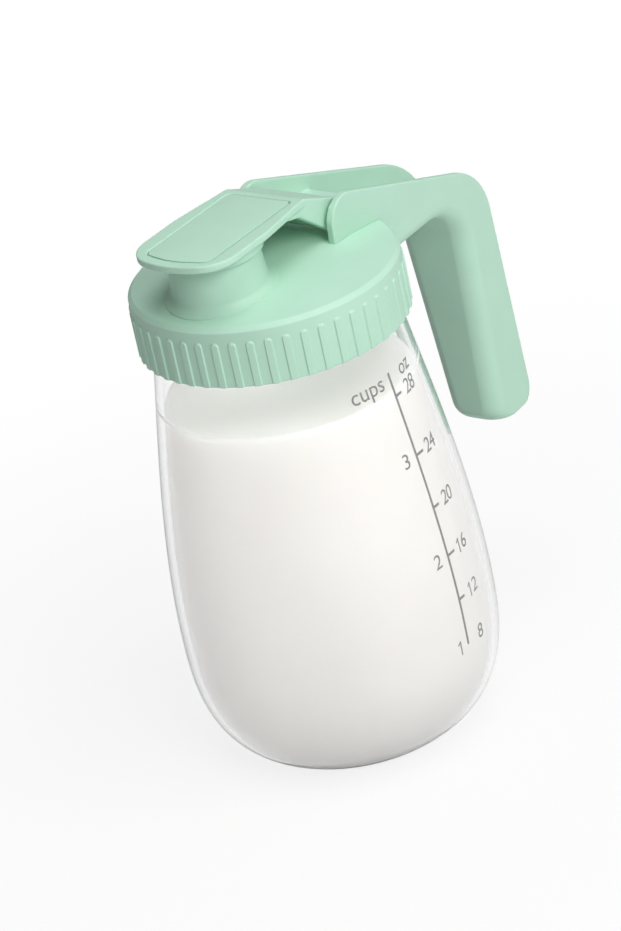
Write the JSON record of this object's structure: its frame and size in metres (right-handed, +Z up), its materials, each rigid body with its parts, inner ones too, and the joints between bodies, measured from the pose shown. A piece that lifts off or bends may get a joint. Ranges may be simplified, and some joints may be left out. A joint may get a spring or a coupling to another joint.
{
  "type": "milk storage jar",
  "caption": "Clear rounded jar with a ribbed screw lid, a side handle and a hinged flip cap over the pouring spout, for storing and pouring milk.",
  "frame": {"origin": "centre of the jar's flat base, on the jar's axis", "axes": "+Z up along the jar's axis, +X towards the handle, -X towards the spout"},
  "size_m": [0.1585, 0.103, 0.188],
  "materials": {
    "clear_jar": "clear and polished",
    "green_plastic": "pale mint green, fine matte moulding",
    "silicone": "translucent white, soft"
  },
  "bodies": {
    "jar": {"jar": "clear_jar"},
    "seal": {"lid_gasket": "silicone"},
    "lid_unit": {"lid": "green_plastic", "handle": "green_plastic", "grip_cover": "green_plastic"},
    "flip": {"flip_cap": "green_plastic", "flip_panel": "green_plastic", "spout_seal": "silicone"}
  },
  "joints": [
    {"name": "lid_rise", "type": "slide", "parent": "jar", "child": "seal", "axis": [0, 0, 1], "range_m": [0, 0.0061]},
    {"name": "lid_turn", "type": "hinge", "parent": "seal", "child": "lid_unit", "pos_m": [0, 0, 0.15], "axis": [0, 0, 1], "range_deg": [0, 360]},
    {"name": "flip_hinge", "type": "hinge", "parent": "lid_unit", "child": "flip", "pos_m": [0.0225, 0, 0.17485], "axis": [0, 1, 0], "range_deg": [0, 125]}
  ],
  "couplings": [
    {"joint": "lid_rise", "follows": "lid_turn", "m_per_rad": 0.00095493}
  ]
}
